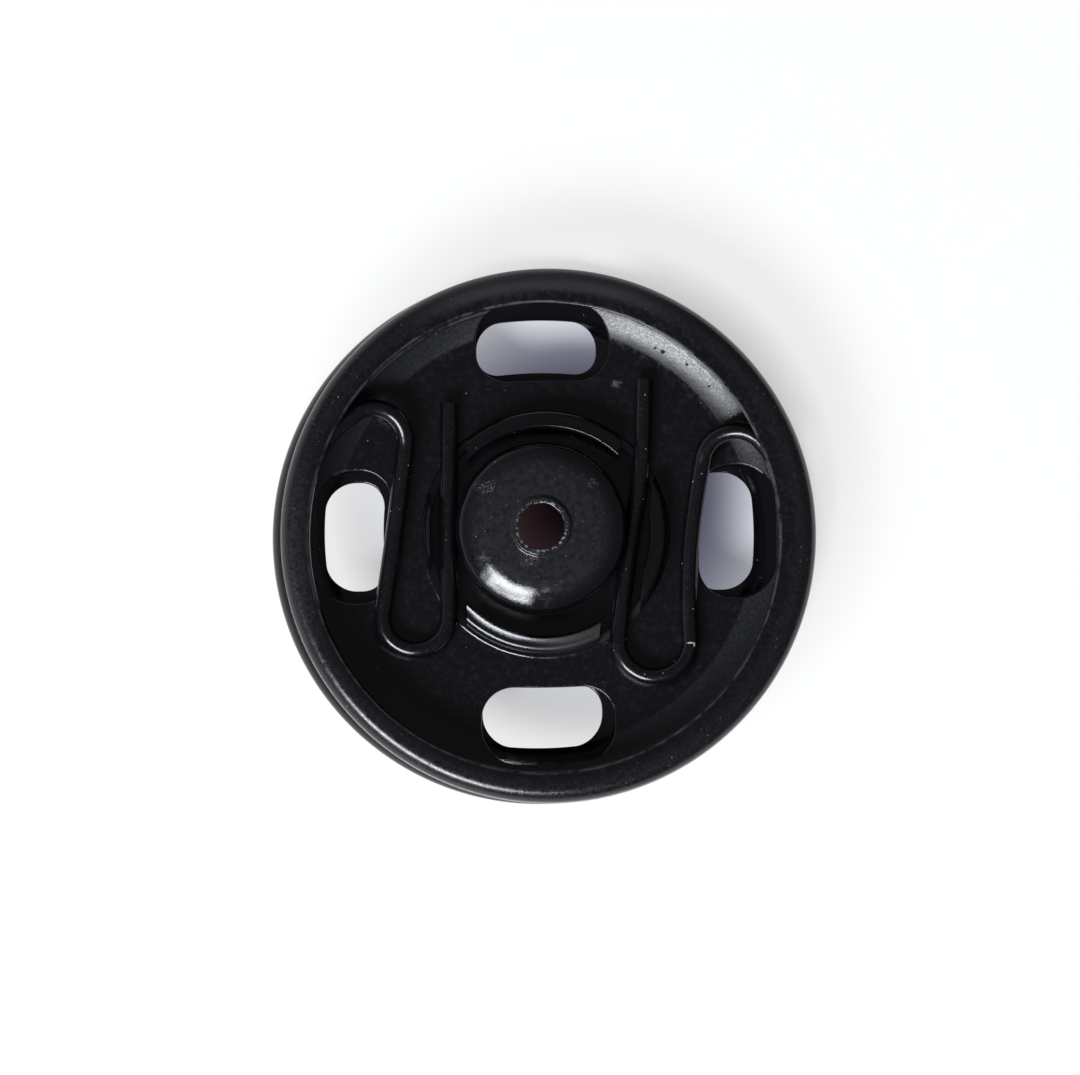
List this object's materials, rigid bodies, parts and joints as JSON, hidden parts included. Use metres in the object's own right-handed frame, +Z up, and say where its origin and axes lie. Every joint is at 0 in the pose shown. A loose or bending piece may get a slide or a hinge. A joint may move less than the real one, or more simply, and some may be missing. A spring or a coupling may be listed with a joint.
{
  "type": "snap fastener",
  "caption": "Round black sew-on snap fastener, closed: a ball half under a sprung socket half, each a rolled-rim metal disc with oblong sewing slots.",
  "frame": {"origin": "middle of the closed fastener's outline, on the floor under the ball half's rolled rim", "axes": "+Z up along the ball, from the ball half to the socket half; the free ends of the spring's legs point to +Y; +X to the right as pictured"},
  "size_m": [0.0306, 0.0302, 0.007],
  "materials": {
    "ball_enamel": "black enamel, worn and speckled on the ball",
    "socket_enamel": "glossy black enamel",
    "spring_enamel": "glossy black enamel"
  },
  "bodies": {
    "ball_half": {"ball_plate": "ball_enamel"},
    "socket_half": {"socket_plate": "socket_enamel", "snap_spring": "spring_enamel"}
  },
  "joints": [
    {"name": "snap_pull", "type": "slide", "parent": "ball_half", "child": "socket_half", "axis": [0, 0, 1], "range_m": [0, 0.008], "deforming": ["snap_spring"]}
  ]
}
